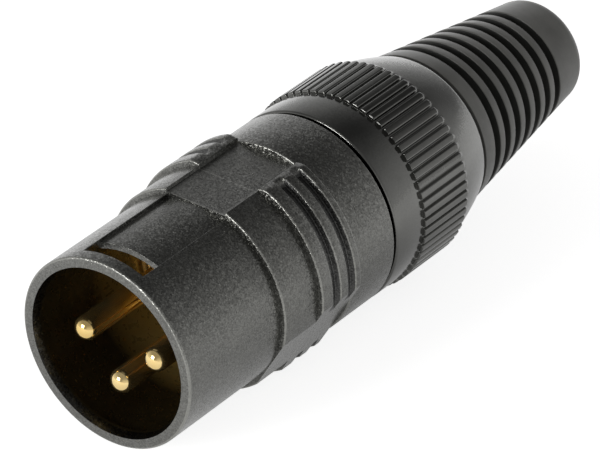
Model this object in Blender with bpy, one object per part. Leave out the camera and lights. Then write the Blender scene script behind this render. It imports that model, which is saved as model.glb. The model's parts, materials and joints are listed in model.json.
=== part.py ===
"""A three-pin audio cable plug, lying on its side, mouth towards -Y and cable boot towards +Y.

Stations are distances behind the mouth face, along the plug's axis. Angles are read from
the mouth, from the latch window at the top round to +X. All lengths are in metres.
"""
import math

import bmesh
import bpy
from mathutils import Matrix, Vector

# Fits
fit_gap = 0.0003
edge_break = 0.00015
merge_distance = 1e-7

# Shell: the front barrel that a socket receives
barrel_radius = 0.0095
barrel_wall = 0.0013
barrel_length = 0.0128
mouth_outer_chamfer = 0.0002
mouth_inner_chamfer = 0.00035

# Shell: the raised body behind the barrel, and the smooth band behind that
body_step = 0.0006
body_length = 0.0104
band_step = 0.0002
band_length = 0.00615

# Shell: the threaded tail that the cap screws on
tail_wall = 0.0010
tail_length = 0.00885
tail_lead_in = 0.0003

# Shell: the inner web that the insert is pushed against
web_stand = 0.0003
web_thickness = 0.0010
web_height = 0.0008

# Shell: latch window and the recessed channel that runs back from it
window_front = 0.0013
window_length = 0.0024
channel_half_width = 0.00335
channel_depth = 0.0005

# Shell: finger grips, three ridges with two grooves between them, right round from the channel
ridge_lengths = (0.00165, 0.00125, 0.00085)
groove_lengths = (0.0010, 0.00095)
grip_height = 0.00062
groove_depth = 0.00055
groove_slope = 0.00012
grip_start_angle = 16.0
grip_full_angle = 25.0
groove_start_angle = 20.5
groove_full_angle = 26.5
grip_sink = 0.00005
grip_root = 0.0004

# Shell: two smooth flats along the body, which the ridges run out into
flat_angles = {"right_flat": 119.75, "left_flat": -119.75}
flat_rise = 0.00008

# Shell: the land under the belly that the plug rests on
rest_cut = 0.00052

# Shell: keyways that stop the insert and the clamp turning
key_width = 0.0018
key_height = 0.0008
key_top_gap = 0.0004
keyway_lead = 0.0010

# Insert and its contact pins
mouth_depth = 0.0170
insert_length = 0.0105
key_length = 0.0050
pin_inset = 0.0030
pin_clock_angles = {"pin_1": -90.0, "pin_2": 90.0, "pin_3": 180.0}
pin_tip = 0.0012
pin_radius = 0.00118
pin_tip_flat = 0.00030
pin_collar_depth = 0.0033
pin_collar_radius = 0.0016
cup_radius = 0.0015
cup_wall = 0.00045
cup_length = 0.0045
cup_floor = 0.0005
cup_scoop_length = 0.0026
cup_scoop_height = 0.00025
cup_drill_point = 0.0005

# Spring ring that grounds the shell
ring_length = 0.0024
ring_thickness = 0.0004
ring_bead_height = 0.00015
ring_bead_count = 3
ring_split_angle = 237.0
ring_split_width = 6.0

# Cable clamp: a keyed sleeve with jaws that the cap closes
clamp_wall = 0.0012
clamp_stand = 0.0004
clamp_throat_length = 0.0018
jaw_step = 0.0003
jaw_wall = 0.0018
jaw_slack = 0.0001
jaw_end_gap = 0.0008
jaw_slit_width = 0.0009
jaw_slit_gap = 0.0006
jaw_tooth_depth = 0.0002
jaw_tooth_count = 3
jaw_tooth_share = 0.4
lug_gap = 0.0037
lug_length = 0.0028

# Cap: plain skirt, knurled ring and tapered tail with a tube for the boot
cap_gap = 0.0004
cap_wall = 0.00083
cap_step = 0.00003
skirt_length = 0.00405
thread_run_out = 0.0010
knurl_length = 0.0069
knurl_teeth = 65
knurl_height = 0.00032
knurl_crest_share = 0.66
knurl_root_share = 0.90
knurl_end_slope = 0.00018
knurl_end_arch = 0.00035
cap_tail_length = 0.00505
cap_tail_bulge = 0.00012
cap_rear_step = 0.00005
boot_tube_radius = 0.0059
boot_tube_wall = 0.0013
boot_tube_length = 0.0067
boot_bead_height = 0.0004
boot_bead_place = 0.0040
boot_bead_length = 0.0012
boot_bead_slope = 0.0004

# Boot: ribbed sleeve that bends with the cable
boot_length = 0.0206
boot_wall = 0.0024
boot_taper = 0.1454
boot_rear_round = 0.0016
boot_round_share = 0.8
boot_cable_radius = 0.0033
boot_collar_length = 0.00185
boot_sleeve_length = 0.00505
rib_pitch = 0.00207
rib_groove_width = 0.00115
rib_groove_depth = 0.00075
rib_front_slope = 0.00012
rib_rear_slope = 0.00036

# Facets
shell_segments = 52
grip_segments = 46
grip_end_segments = 7
cap_segments = 44
boot_segments = 32
inner_segments = 32
pin_segments = 14
channel_steps = 6
cap_tail_steps = 7
round_steps = 4
crease_angle = 35.0

# Radii that follow, from the barrel outwards and inwards
mouth_bore_radius = barrel_radius - barrel_wall
body_radius = barrel_radius + body_step
grip_radius = body_radius + grip_height
flat_radius = barrel_radius + flat_rise
band_radius = body_radius - band_step
cap_skirt_radius = band_radius + cap_step
tail_radius = cap_skirt_radius - cap_wall - fit_gap
tail_bore_radius = tail_radius - tail_wall
web_bore_radius = tail_bore_radius - web_height
pin_circle_radius = web_bore_radius - pin_inset
key_radius = tail_bore_radius + key_height
knurl_root_radius = cap_skirt_radius - cap_step
knurl_crest_radius = knurl_root_radius + knurl_height
boot_front_radius = boot_tube_radius + boot_wall
cap_rear_radius = boot_front_radius + cap_rear_step
jaw_bore_radius = boot_cable_radius + jaw_slack
jaw_rear_radius = jaw_bore_radius + jaw_wall
jaw_front_radius = tail_bore_radius - fit_gap - jaw_step

# Stations that follow, from the mouth back
window_rear = window_front + window_length
body_end = barrel_length + body_length
grip_front = body_end - sum(ridge_lengths) - sum(groove_lengths)
band_end = body_end + band_length
tail_end = band_end + tail_length
web_front = mouth_depth + web_stand
insert_rear = mouth_depth + insert_length
pin_collar_front = mouth_depth + pin_collar_depth
cup_end = insert_rear + cup_length
clamp_sleeve_end = tail_end + clamp_stand
cap_front = band_end + cap_gap
knurl_front = cap_front + skirt_length
knurl_rear = knurl_front + knurl_length
cap_rear = knurl_rear + cap_tail_length
jaw_end = cap_rear - jaw_end_gap
boot_bead_front = cap_rear + boot_bead_place
boot_tube_end = cap_rear + boot_tube_length
boot_front = cap_rear + fit_gap
overall_length = boot_front + boot_length
rib_groove_front = boot_front + boot_collar_length
ribbed_length = boot_length - boot_collar_length - boot_sleeve_length
rib_groove_count = int((ribbed_length - rib_groove_width) / rib_pitch) + 1

# Heights and places that follow
knurl_low_side = knurl_crest_radius * math.cos(math.pi / knurl_teeth)
axis_height = max(knurl_low_side, grip_radius - rest_cut)
half_length = overall_length / 2


def clear_scene():
    """Remove whatever the open file already holds."""
    for obj in list(bpy.data.objects):
        bpy.data.objects.remove(obj, do_unlink=True)


def make_material(name, colour, roughness, metallic):
    """A plain Principled surface."""
    material = bpy.data.materials.new(name)
    material.use_nodes = True
    shader = material.node_tree.nodes["Principled BSDF"]
    shader.inputs["Base Color"].default_value = (*colour, 1.0)
    shader.inputs["Roughness"].default_value = roughness
    shader.inputs["Metallic"].default_value = metallic
    return material


def add_object(name, mesh, material=None, carrier=None):
    """Put a mesh in the scene, with its origin on the plug's axis at the mouth."""
    obj = bpy.data.objects.new(name, mesh)
    bpy.context.collection.objects.link(obj)
    if carrier:
        obj.parent = carrier
    else:
        obj.location = (0.0, -half_length, axis_height)
    if material:
        mesh.materials.append(material)
    return obj


def finish_mesh(name, bm):
    """Close up a bmesh, point its faces out and shade it smooth with sharp edges kept."""
    bmesh.ops.remove_doubles(bm, verts=bm.verts, dist=merge_distance)
    bmesh.ops.recalc_face_normals(bm, faces=bm.faces)
    mesh = bpy.data.meshes.new(name)
    bm.to_mesh(mesh)
    bm.free()
    mesh.shade_smooth()
    mesh.set_sharp_from_angle(angle=math.radians(crease_angle))
    return mesh


def on_circle(station, radius, angle):
    """A point at a station, a radius and a clock angle in degrees."""
    turn = math.radians(angle)
    return Vector((radius * math.sin(turn), station, radius * math.cos(turn)))


def spaced(start, end, steps):
    """Even steps from one angle to another, both ends included."""
    return [start + (end - start) * step / steps for step in range(steps + 1)]


def revolve(name, profile_at, angles, closed):
    """Sweep a closed profile of (station, radius) points through a list of angles.

    profile_at gives the profile at an angle. A turn that is not closed gets a flat face
    at each end.
    """
    bm = bmesh.new()
    rings = [[bm.verts.new(on_circle(s, r, angle)) for s, r in profile_at(angle)]
             for angle in angles]
    count = len(rings[0])
    after_rings = rings[1:] + rings[:1] if closed else rings[1:]
    for ring, after in zip(rings, after_rings):
        for i in range(count):
            j = (i + 1) % count
            corners = [ring[i], ring[j], after[j], after[i]]
            if (corners[0].co - corners[3].co).length < merge_distance:
                corners.pop(3)
            if (corners[1].co - corners[2].co).length < merge_distance:
                corners.pop(2)
            if len(corners) > 2:
                bm.faces.new(corners)
    if not closed:
        bm.faces.new(rings[0])
        bm.faces.new(rings[-1])
    return finish_mesh(name, bm)


def turned(name, profile, segments):
    """A full turn of one profile."""
    angles = spaced(0.0, 360.0, segments)[:-1]
    return revolve(name, lambda angle: profile, angles, closed=True)


def block(name, low, high):
    """A box between two corners."""
    bm = bmesh.new()
    bmesh.ops.create_cube(bm, size=1.0)
    size = [b - a for a, b in zip(low, high)]
    middle = [(a + b) / 2 for a, b in zip(low, high)]
    bmesh.ops.scale(bm, vec=size, verts=bm.verts)
    bmesh.ops.translate(bm, vec=middle, verts=bm.verts)
    return finish_mesh(name, bm)


def combine(target, mesh, operation):
    """Cut or join a tool mesh, which stays in the scene as a hidden wire guide."""
    tool = add_object(f"{mesh.name}_tool", mesh, carrier=target.parent)
    tool.hide_render = True
    tool.display_type = "WIRE"
    modifier = target.modifiers.new(mesh.name, "BOOLEAN")
    modifier.object = tool
    modifier.operation = operation
    modifier.solver = "EXACT"


def baked(obj):
    """The mesh of an object with its modifiers worked in."""
    depsgraph = bpy.context.evaluated_depsgraph_get()
    return bpy.data.meshes.new_from_object(obj.evaluated_get(depsgraph))


def arc_points(centre, radius, start, end, steps):
    """Points of an arc in the (station, radius) plane, angles in degrees from the rear."""
    points = []
    for step in range(steps + 1):
        turn = math.radians(start + (end - start) * step / steps)
        points.append((centre[0] + radius * math.cos(turn), centre[1] + radius * math.sin(turn)))
    return points


def ramp(value, low, high):
    """0 at low, 1 at high, with eased ends."""
    t = min(1.0, max(0.0, (value - low) / (high - low)))
    return t * t * (3.0 - 2.0 * t)


def shell_profile():
    """Barrel, body, band and threaded tail outside, bores and web inside."""
    web_rear = web_front + web_thickness
    return [
        (0.0, mouth_bore_radius + mouth_inner_chamfer),
        (0.0, barrel_radius - mouth_outer_chamfer),
        (mouth_outer_chamfer, barrel_radius),
        (barrel_length, barrel_radius),
        (barrel_length, body_radius - edge_break),
        (barrel_length + edge_break, body_radius),
        (body_end, body_radius),
        (body_end, band_radius),
        (band_end - edge_break, band_radius),
        (band_end, band_radius - edge_break),
        (band_end, tail_radius),
        (tail_end - tail_lead_in, tail_radius),
        (tail_end, tail_radius - tail_lead_in),
        (tail_end, tail_bore_radius),
        (web_rear, tail_bore_radius),
        (web_rear, web_bore_radius),
        (web_front, web_bore_radius),
        (web_front, mouth_bore_radius),
        (mouth_inner_chamfer, mouth_bore_radius),
    ]


def grip_profile(crest, groove):
    """Section of the grips: a crest line broken by the grooves between the ridges."""
    root = body_radius - grip_root
    corner = min(edge_break, max(0.0, crest - body_radius))
    points = [(grip_front, root), (grip_front, crest - corner), (grip_front + edge_break, crest)]
    front = grip_front
    for ridge, gap in zip(ridge_lengths, groove_lengths):
        front += ridge
        points.append((front, crest))
        points.append((front + groove_slope, crest - groove))
        front += gap
        points.append((front - groove_slope, crest - groove))
        points.append((front, crest))
    points += [(body_end - edge_break, crest), (body_end, crest - corner), (body_end, root)]
    return points


def grip_ring():
    """Ridges round the body that slope down to it at both sides of the channel."""
    def profile_at(angle):
        clock = min(angle, 360.0 - angle)
        sunk = body_radius - grip_sink
        crest = sunk + (grip_radius - sunk) * ramp(clock, grip_start_angle, grip_full_angle)
        return grip_profile(crest, groove_depth * ramp(clock, groove_start_angle, groove_full_angle))
    slope = spaced(grip_start_angle, groove_full_angle, grip_end_segments)
    back = [360.0 - angle for angle in reversed(slope)]
    angles = slope[:-1] + spaced(slope[-1], back[0], grip_segments) + back[1:]
    return revolve("grips", profile_at, angles, closed=False)


def flat_cutter(name, angle):
    """A block whose face is one of the flats along the body."""
    cutter = block(name, (-grip_radius, barrel_length - fit_gap, flat_radius),
                   (grip_radius, body_end + fit_gap, grip_radius + body_radius))
    cutter.transform(Matrix.Rotation(math.radians(angle), 4, "Y"))
    return cutter


def channel_cutter(name, front, rear, floor_radius):
    """A parallel-sided cut with a floor that follows the barrel's curve."""
    reach = math.degrees(math.asin(channel_half_width / floor_radius))
    top = grip_radius + fit_gap
    outline = [on_circle(0.0, floor_radius, reach * step / channel_steps)
               for step in range(-channel_steps, channel_steps + 1)]
    outline += [Vector((channel_half_width, 0.0, top)), Vector((-channel_half_width, 0.0, top))]
    bm = bmesh.new()
    face = bm.faces.new([bm.verts.new((p.x, front, p.z)) for p in outline])
    grown = bmesh.ops.extrude_face_region(bm, geom=[face])
    moved = [v for v in grown["geom"] if isinstance(v, bmesh.types.BMVert)]
    bmesh.ops.translate(bm, vec=(0.0, rear - front, 0.0), verts=moved)
    return finish_mesh(name, bm)


def build_shell(material):
    """The die-cast shell in one piece."""
    shell = add_object("shell", turned("shell", shell_profile(), shell_segments), material)
    combine(shell, grip_ring(), "UNION")
    for name, angle in flat_angles.items():
        combine(shell, flat_cutter(name, angle), "DIFFERENCE")
    combine(shell, channel_cutter("front_channel", window_rear - fit_gap, barrel_length,
                                  barrel_radius - channel_depth), "DIFFERENCE")
    combine(shell, channel_cutter("rear_channel", barrel_length - fit_gap, body_end + fit_gap,
                                  body_radius - channel_depth), "DIFFERENCE")
    combine(shell, block("window", (-channel_half_width, window_front, channel_half_width),
                         (channel_half_width, window_rear, body_radius)), "DIFFERENCE")
    combine(shell, block("belly_land", (-grip_radius, barrel_length, -2 * axis_height),
                         (grip_radius, body_end + fit_gap, -axis_height)), "DIFFERENCE")
    half_key = key_width / 2 + fit_gap
    keyway_front = insert_rear - key_length - keyway_lead
    for side, sign in (("right", 1.0), ("left", -1.0)):
        low_x, high_x = sorted((sign * web_bore_radius, sign * (key_radius + key_top_gap)))
        combine(shell, block(f"{side}_keyway", (low_x, keyway_front, -half_key),
                             (high_x, tail_end + fit_gap, half_key)), "DIFFERENCE")
    return shell


def build_insert(material):
    """The moulded insulator that carries the pins, keyed into the shell."""
    nose_radius = web_bore_radius - fit_gap
    body = tail_bore_radius - fit_gap
    shoulder = web_front + web_thickness + fit_gap
    profile = [
        (mouth_depth, 0.0),
        (mouth_depth, nose_radius - edge_break),
        (mouth_depth + edge_break, nose_radius),
        (shoulder, nose_radius),
        (shoulder, body),
        (insert_rear, body),
        (insert_rear, 0.0),
    ]
    insert = add_object("pin_insert", turned("pin_insert", profile, inner_segments), material)
    half_key = key_width / 2
    key_start = insert_rear - key_length
    combine(insert, block("insert_keys", (-key_radius, key_start, -half_key),
                          (key_radius, insert_rear - edge_break, half_key)), "UNION")
    step = pin_collar_front - fit_gap
    narrow = pin_radius + fit_gap
    wide = pin_collar_radius + fit_gap
    over = insert_rear + fit_gap
    hole = [(mouth_depth - fit_gap, 0.0), (mouth_depth - fit_gap, narrow), (step, narrow),
            (step, wide), (over, wide), (over, 0.0)]
    for name, angle in pin_clock_angles.items():
        drill = turned(f"{name}_hole", hole, pin_segments)
        drill.transform(Matrix.Translation(on_circle(0.0, pin_circle_radius, angle)))
        combine(insert, drill, "DIFFERENCE")
    return insert


def build_pins(material):
    """Three turned pins with solder cups, all from one mesh."""
    bend = pin_radius - pin_tip_flat
    cup_bore_radius = cup_radius - cup_wall
    cup_bottom = insert_rear + cup_floor
    profile = [(pin_tip, 0.0)]
    profile += arc_points((pin_tip + bend, pin_tip_flat), bend, 180.0, 90.0, round_steps)
    profile += [
        (pin_collar_front, pin_radius),
        (pin_collar_front, pin_collar_radius),
        (insert_rear - fit_gap, pin_collar_radius),
        (insert_rear, cup_radius),
        (cup_end, cup_radius),
        (cup_end, cup_bore_radius),
        (cup_bottom, cup_bore_radius),
        (cup_bottom - cup_drill_point, 0.0),
    ]
    blank = add_object("pin_blank", turned("pin", profile, pin_segments), material)
    scoop = block("cup_scoop", (-2 * cup_radius, cup_end - cup_scoop_length, cup_scoop_height),
                  (2 * cup_radius, cup_end + fit_gap, 2 * cup_radius))
    combine(blank, scoop, "DIFFERENCE")
    pin_mesh = baked(blank)
    bpy.data.objects.remove(blank, do_unlink=True)
    pins = []
    for name, angle in pin_clock_angles.items():
        pin = add_object(name, pin_mesh)
        pin.location += on_circle(0.0, pin_circle_radius, angle)
        pin.rotation_euler.y = math.radians(angle)
        pins.append(pin)
    return pins


def build_ground_ring(material):
    """A split spring ring of beaded strip, against the web inside the mouth."""
    outer = mouth_bore_radius - fit_gap
    inner = outer - ring_thickness
    rear = web_front - fit_gap
    ring_front = rear - ring_length
    pitch = ring_length / (2 * ring_bead_count + 1)
    profile = [(ring_front, outer), (ring_front, inner)]
    for bead in range(ring_bead_count):
        start = ring_front + pitch * (2 * bead + 1)
        profile += [
            (start, inner),
            (start + pitch / 2, inner - ring_bead_height),
            (start + pitch, inner),
        ]
    profile += [(rear, inner), (rear, outer)]
    start = ring_split_angle + ring_split_width / 2
    angles = spaced(start, start + 360.0 - ring_split_width, inner_segments)
    mesh = revolve("ground_ring", lambda angle: profile, angles, closed=False)
    return add_object("ground_ring", mesh, material)


def build_clamp(material):
    """The cable clamp, whose slit jaws close on the cable as the cap is tightened."""
    outer = tail_bore_radius - fit_gap
    clamp_front = insert_rear + fit_gap
    inner = outer - clamp_wall
    clamp_throat = clamp_sleeve_end - clamp_throat_length
    tooth_pitch = (jaw_end - clamp_sleeve_end) / (jaw_tooth_count + 1)
    profile = [
        (clamp_front, inner),
        (clamp_front, outer),
        (clamp_sleeve_end, outer),
        (clamp_sleeve_end, jaw_front_radius),
        (jaw_end, jaw_rear_radius),
        (jaw_end, jaw_bore_radius),
    ]
    for tooth in range(jaw_tooth_count):
        rear = jaw_end - tooth_pitch * (tooth + jaw_tooth_share)
        front = rear - tooth_pitch * jaw_tooth_share
        profile.append((rear, jaw_bore_radius))
        profile.append(((front + rear) / 2, jaw_bore_radius + jaw_tooth_depth))
        profile.append((front, jaw_bore_radius))
    profile.append((clamp_sleeve_end, jaw_bore_radius))
    profile.append((clamp_throat, inner))
    clamp = add_object("cable_clamp", turned("cable_clamp", profile, inner_segments), material)
    half_key = key_width / 2
    lug_front = insert_rear + lug_gap
    for side, sign in (("right", 1.0), ("left", -1.0)):
        low_x, high_x = sorted((sign * (outer - clamp_wall / 2), sign * key_radius))
        lug = block(f"{side}_lug", (low_x, lug_front, -half_key),
                    (high_x, lug_front + lug_length, half_key))
        combine(clamp, lug, "UNION")
    reach = 2 * outer
    half_slit = jaw_slit_width / 2
    jaw_slit_front = clamp_sleeve_end + jaw_slit_gap
    upright = block("upright_slit", (-half_slit, jaw_slit_front, -reach),
                    (half_slit, jaw_end + fit_gap, reach))
    level = block("level_slit", (-reach, jaw_slit_front, -half_slit),
                  (reach, jaw_end + fit_gap, half_slit))
    combine(clamp, upright, "DIFFERENCE")
    combine(clamp, level, "DIFFERENCE")
    return clamp


def cap_tail_radius(station):
    """Outside of the cap's tail: a straight taper with a slight swell."""
    t = (station - knurl_rear) / (cap_rear - knurl_rear)
    straight = knurl_root_radius + (cap_rear_radius - knurl_root_radius) * t
    return straight + 4 * cap_tail_bulge * t * (1.0 - t)


def cap_profile():
    """Skirt, knurl root and tail outside; thread bore, closing cone and boot tube inside."""
    bore = tail_radius + fit_gap
    cone_front = clamp_sleeve_end + fit_gap
    slope = (jaw_rear_radius - jaw_front_radius) / (jaw_end - clamp_sleeve_end)
    cone_rear = jaw_end + fit_gap
    thread_bore_end = tail_end + thread_run_out
    boot_tube_bore_radius = boot_tube_radius - boot_tube_wall
    bead_top = boot_tube_radius + boot_bead_height
    profile = [
        (cap_front, bore),
        (cap_front, cap_skirt_radius - edge_break),
        (cap_front + edge_break, cap_skirt_radius),
        (knurl_front, cap_skirt_radius),
        (knurl_front, knurl_root_radius),
        (knurl_rear, knurl_root_radius),
    ]
    for step in range(1, cap_tail_steps):
        station = knurl_rear + (cap_rear - knurl_rear) * step / cap_tail_steps
        profile.append((station, cap_tail_radius(station)))
    profile += [
        (cap_rear, cap_rear_radius),
        (cap_rear, boot_tube_radius),
        (boot_bead_front, boot_tube_radius),
        (boot_bead_front, bead_top),
        (boot_bead_front + boot_bead_length - boot_bead_slope, bead_top),
        (boot_bead_front + boot_bead_length, boot_tube_radius),
        (boot_tube_end, boot_tube_radius),
        (boot_tube_end, boot_tube_bore_radius),
        (cone_rear, boot_tube_bore_radius),
        (cone_rear, jaw_rear_radius + fit_gap - slope * fit_gap),
        (cone_front, jaw_front_radius + fit_gap),
        (cone_front, tail_bore_radius),
        (thread_bore_end, tail_bore_radius),
        (thread_bore_end, bore),
    ]
    return profile


def knurl_ring():
    """Straight teeth with steep front ends and arched, sloping rear ends, on a ring."""
    tooth = 360.0 / knurl_teeth
    low = knurl_root_radius - edge_break
    high = knurl_crest_radius
    columns = ((-knurl_root_share, low), (-knurl_crest_share, high), (0.0, high),
               (knurl_crest_share, high), (knurl_root_share, low))
    inner_radius = (tail_radius + knurl_root_radius) / 2
    bm = bmesh.new()
    loops = [[] for row in range(5)]
    for index in range(knurl_teeth):
        for share, radius in columns:
            angle = tooth * (index + share / 2)
            arch = knurl_end_arch * min(1.0, abs(share / knurl_crest_share)) ** 2
            places = (
                (knurl_front, inner_radius),
                (knurl_front, radius),
                (knurl_rear - knurl_end_slope - arch, radius),
                (knurl_rear - arch, low),
                (knurl_rear - arch, inner_radius),
            )
            for loop, (station, height) in zip(loops, places):
                loop.append(bm.verts.new(on_circle(station, height, angle)))
    for loop, after in zip(loops, loops[1:] + loops[:1]):
        for i in range(len(loop)):
            j = (i + 1) % len(loop)
            bm.faces.new([loop[i], loop[j], after[j], after[i]])
    return finish_mesh("knurl", bm)


def build_cap(material, carrier):
    """The screw cap, turning on the plug's axis."""
    cap = add_object("cap", turned("cap", cap_profile(), cap_segments), material, carrier)
    combine(cap, knurl_ring(), "UNION")
    return cap


def boot_radius(station):
    """The boot's even taper from the cap to its rear end."""
    return boot_front_radius - boot_taper * (station - boot_front)


def boot_profile():
    """Ribbed outside, and a socket for the cap's tube ahead of the cable hole."""
    socket = boot_tube_radius + fit_gap
    socket_end = boot_tube_end + fit_gap
    bead = boot_tube_radius + boot_bead_height + fit_gap
    bead_front = boot_bead_front - fit_gap
    bead_rear = boot_bead_front + boot_bead_length + fit_gap
    profile = [(boot_front, socket), (boot_front, boot_front_radius)]
    for index in range(rib_groove_count):
        start = rib_groove_front + rib_pitch * index
        end = start + rib_groove_width
        floor = boot_radius((start + end) / 2) - rib_groove_depth
        profile.append((start, boot_radius(start)))
        profile.append((start + rib_front_slope, floor))
        profile.append((end - rib_rear_slope, floor))
        profile.append((end, boot_radius(end)))
    end_wall = boot_radius(overall_length) - boot_cable_radius
    rear_round = min(boot_rear_round, end_wall * boot_round_share)
    shoulder = overall_length - rear_round
    centre = (shoulder, boot_radius(shoulder) - rear_round)
    profile += arc_points(centre, rear_round, 90.0, 0.0, round_steps)
    profile += [
        (overall_length, boot_cable_radius + edge_break),
        (overall_length - edge_break, boot_cable_radius),
        (socket_end, boot_cable_radius),
        (socket_end, socket),
        (bead_rear, socket),
        (bead_rear, bead),
        (bead_front, bead),
        (bead_front, socket),
    ]
    return profile


def build_boot(material, carrier):
    """The rubber boot, held on the cap's tube."""
    return add_object("boot", turned("boot", boot_profile(), boot_segments), material, carrier)


def main():
    """Build every piece of the plug."""
    clear_scene()
    black_metal = make_material("black_metal", (0.055, 0.055, 0.052), 0.42, 0.75)
    black_plastic = make_material("black_plastic", (0.012, 0.012, 0.012), 0.25, 0.0)
    clamp_plastic = make_material("clamp_plastic", (0.02, 0.02, 0.02), 0.5, 0.0)
    gold = make_material("gold", (0.85, 0.62, 0.25), 0.15, 1.0)
    rubber = make_material("rubber", (0.07, 0.07, 0.065), 0.7, 0.0)

    build_shell(black_metal)
    build_insert(black_plastic)
    build_pins(gold)
    build_ground_ring(gold)
    build_clamp(clamp_plastic)

    cap_axis = bpy.data.objects.new("cap_axis", None)
    bpy.context.collection.objects.link(cap_axis)
    cap_axis.location = (0.0, -half_length, axis_height)
    build_cap(black_metal, cap_axis)
    build_boot(rubber, cap_axis)


main()
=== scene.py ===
"""The looks of a three-pin audio cable plug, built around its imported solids.

Stations are distances behind the mouth face, along the plug's axis. Angles are clock angles
seen from the mouth, from the latch window at the top round to +X. All lengths are in metres.
"""
import json
import math

import bmesh
import bpy
from mathutils import Matrix, Vector


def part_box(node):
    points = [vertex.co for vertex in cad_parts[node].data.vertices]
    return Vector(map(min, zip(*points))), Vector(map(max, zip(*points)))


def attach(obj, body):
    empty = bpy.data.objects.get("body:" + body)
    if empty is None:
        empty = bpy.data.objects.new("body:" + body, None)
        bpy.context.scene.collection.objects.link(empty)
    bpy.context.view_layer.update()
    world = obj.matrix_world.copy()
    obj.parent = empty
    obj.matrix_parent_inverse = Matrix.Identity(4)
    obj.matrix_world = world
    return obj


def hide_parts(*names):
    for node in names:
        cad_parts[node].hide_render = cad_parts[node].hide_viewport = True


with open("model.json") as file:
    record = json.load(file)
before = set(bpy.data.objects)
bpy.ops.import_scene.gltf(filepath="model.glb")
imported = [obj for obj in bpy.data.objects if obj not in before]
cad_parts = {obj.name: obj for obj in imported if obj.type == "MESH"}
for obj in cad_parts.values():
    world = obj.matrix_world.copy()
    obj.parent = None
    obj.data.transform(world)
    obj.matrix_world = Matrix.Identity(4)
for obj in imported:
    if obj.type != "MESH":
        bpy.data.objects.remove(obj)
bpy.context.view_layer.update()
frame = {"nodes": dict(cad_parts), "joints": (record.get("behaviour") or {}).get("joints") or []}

# Places that the frame gives
mouth_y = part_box("shell")[0].y
axis_z = next(j["pos_m"][2] for j in frame["joints"] if j["name"] == "cap_turn")
cap_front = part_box("cap")[0].y - mouth_y
boot_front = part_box("boot")[0].y - mouth_y
tube_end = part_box("cap")[1].y - mouth_y
overall_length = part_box("boot")[1].y - mouth_y
tail_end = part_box("shell")[1].y - mouth_y
pin_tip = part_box("pin_3")[0].y - mouth_y
cup_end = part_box("pin_3")[1].y - mouth_y
ring_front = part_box("ground_ring")[0].y - mouth_y
ring_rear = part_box("ground_ring")[1].y - mouth_y

# Fits, edges and shading
fit_gap = 0.0003
edge_round = 0.00015
fine_round = 0.00006
round_steps = 4
merge_distance = 1e-7
crease_angle = 40.0

# Shell
barrel_radius = 0.0095
bore_radius = 0.0082
rim_lead = 0.0008
rim_lead_height = 0.00028
rim_round = 0.0002
barrel_length = 0.0128
body_radius = 0.0101
body_end = 0.0232
band_radius = 0.0099
band_end = 0.02935
tail_radius = 0.0088
tail_bore_radius = 0.0078
tail_lead_in = 0.0003
web_front = 0.0173
web_rear = 0.0183
web_bore_radius = 0.0070
seat_front = 0.0011
seat_rear = 0.0085
seat_radius = 0.00855

# Latch window and channel
window_front = 0.0013
window_rear = 0.0037
channel_half_width = 0.00335
channel_floor = 0.0091
rear_channel_height = 0.0092

# Finger grips: ridges right round from the channel, and the two flats that cut them
grip_front = 0.0175
grip_radius = 0.01072
grip_start_angle = 16.0
grip_full_angle = 25.0
brow_passes = 2
flat_radius = 0.00958
flat_angle = 119.75
flat_edge_angle = 0.5
flat_hold = 0.0001
land_angle = 164.0
rest_land = 0.010208

# Grooves between the ridges. Each of their edges has steps: how far into the groove they are,
# and how much of its depth they have. Their finish starts some columns past the channel's wall.
groove_edges = ((0.01908, 0.02018), (0.02132, 0.02240))
groove_depth = 0.00055
groove_slope = 0.00012
groove_lip = 0.0001
groove_steps = (
    (-groove_lip, 0.0), (-0.4 * groove_lip, 0.04), (0.1 * groove_lip, 0.18),
    (groove_slope, 0.9), (groove_slope + fine_round, 1.0),
)
groove_lip_strips = 2
groove_end_columns = 5
groove_start_angle = 20.5
groove_full_angle = 26.5

# Keyways in the tail
keyway_front = 0.0215
keyway_radius = 0.0090
keyway_angle = 8.3
keyway_edge = 0.02
key_spread = 18.0
key_gap = 3.0

# Counts for half of the shell's skin: channel floor, its wall, then the stretches round to the
# bottom
floor_columns = 7
wall_columns = 4
side_steps = 56
key_steps = 12
edge_steps = 3
flat_outer_steps = 3
flat_inner_steps = 6
belly_steps = 14
land_steps = 8

# Columns of the shell's skin where an opening or a finish starts or ends
window_column = floor_columns + 1
grip_column = floor_columns + wall_columns + groove_end_columns
key_first_column = floor_columns + wall_columns + side_steps
key_last_column = key_first_column + key_steps + 2
flat_column = key_last_column + edge_steps + 1
belly_column = flat_column + 2 * (flat_outer_steps + 1) + flat_inner_steps

# Places of the shell's other finishes in its material slots
# Painted shade and painted gold reflection inside the mouth
painted_bore_index = 1
# Painted shade: a darker black in the grip grooves and at the mouth's lead-in
painted_shade_index = 2
# Painted highlight: a lighter tone on rounded edges and groove lips
painted_highlight_index = 3

# Thread on the tail
thread_pitch = 0.0015
thread_height = 0.00018
thread_front = 0.0302
thread_rear = 0.0376
thread_steps = 96
thread_share = 0.36
thread_crest = 0.2
thread_fade = 20
thread_keyway_gap = 0.6
thread_sink = 0.00002

# Cap
skirt_radius = 0.00993
skirt_lip = 0.00010
skirt_foot = 0.00001
cap_bore_radius = 0.0091
cap_front_round = 0.00024
cap_rear = boot_front - fit_gap
cap_rear_radius = 0.00835
cap_tail_bulge = 0.00012
cap_tail_steps = 14
cap_crease_angle = 50.0
thread_bore_end = 0.0392
cone_front = 0.0389
cone_rear = 0.04525
cone_front_radius = 0.0075
cone_rear_radius = 0.00559
tube_radius = 0.0059
tube_bore_radius = 0.0046
tube_bead_front = cap_rear + 0.0040
tube_bead_length = 0.0012
tube_bead_height = 0.0004
tube_bead_slope = 0.0004

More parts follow.
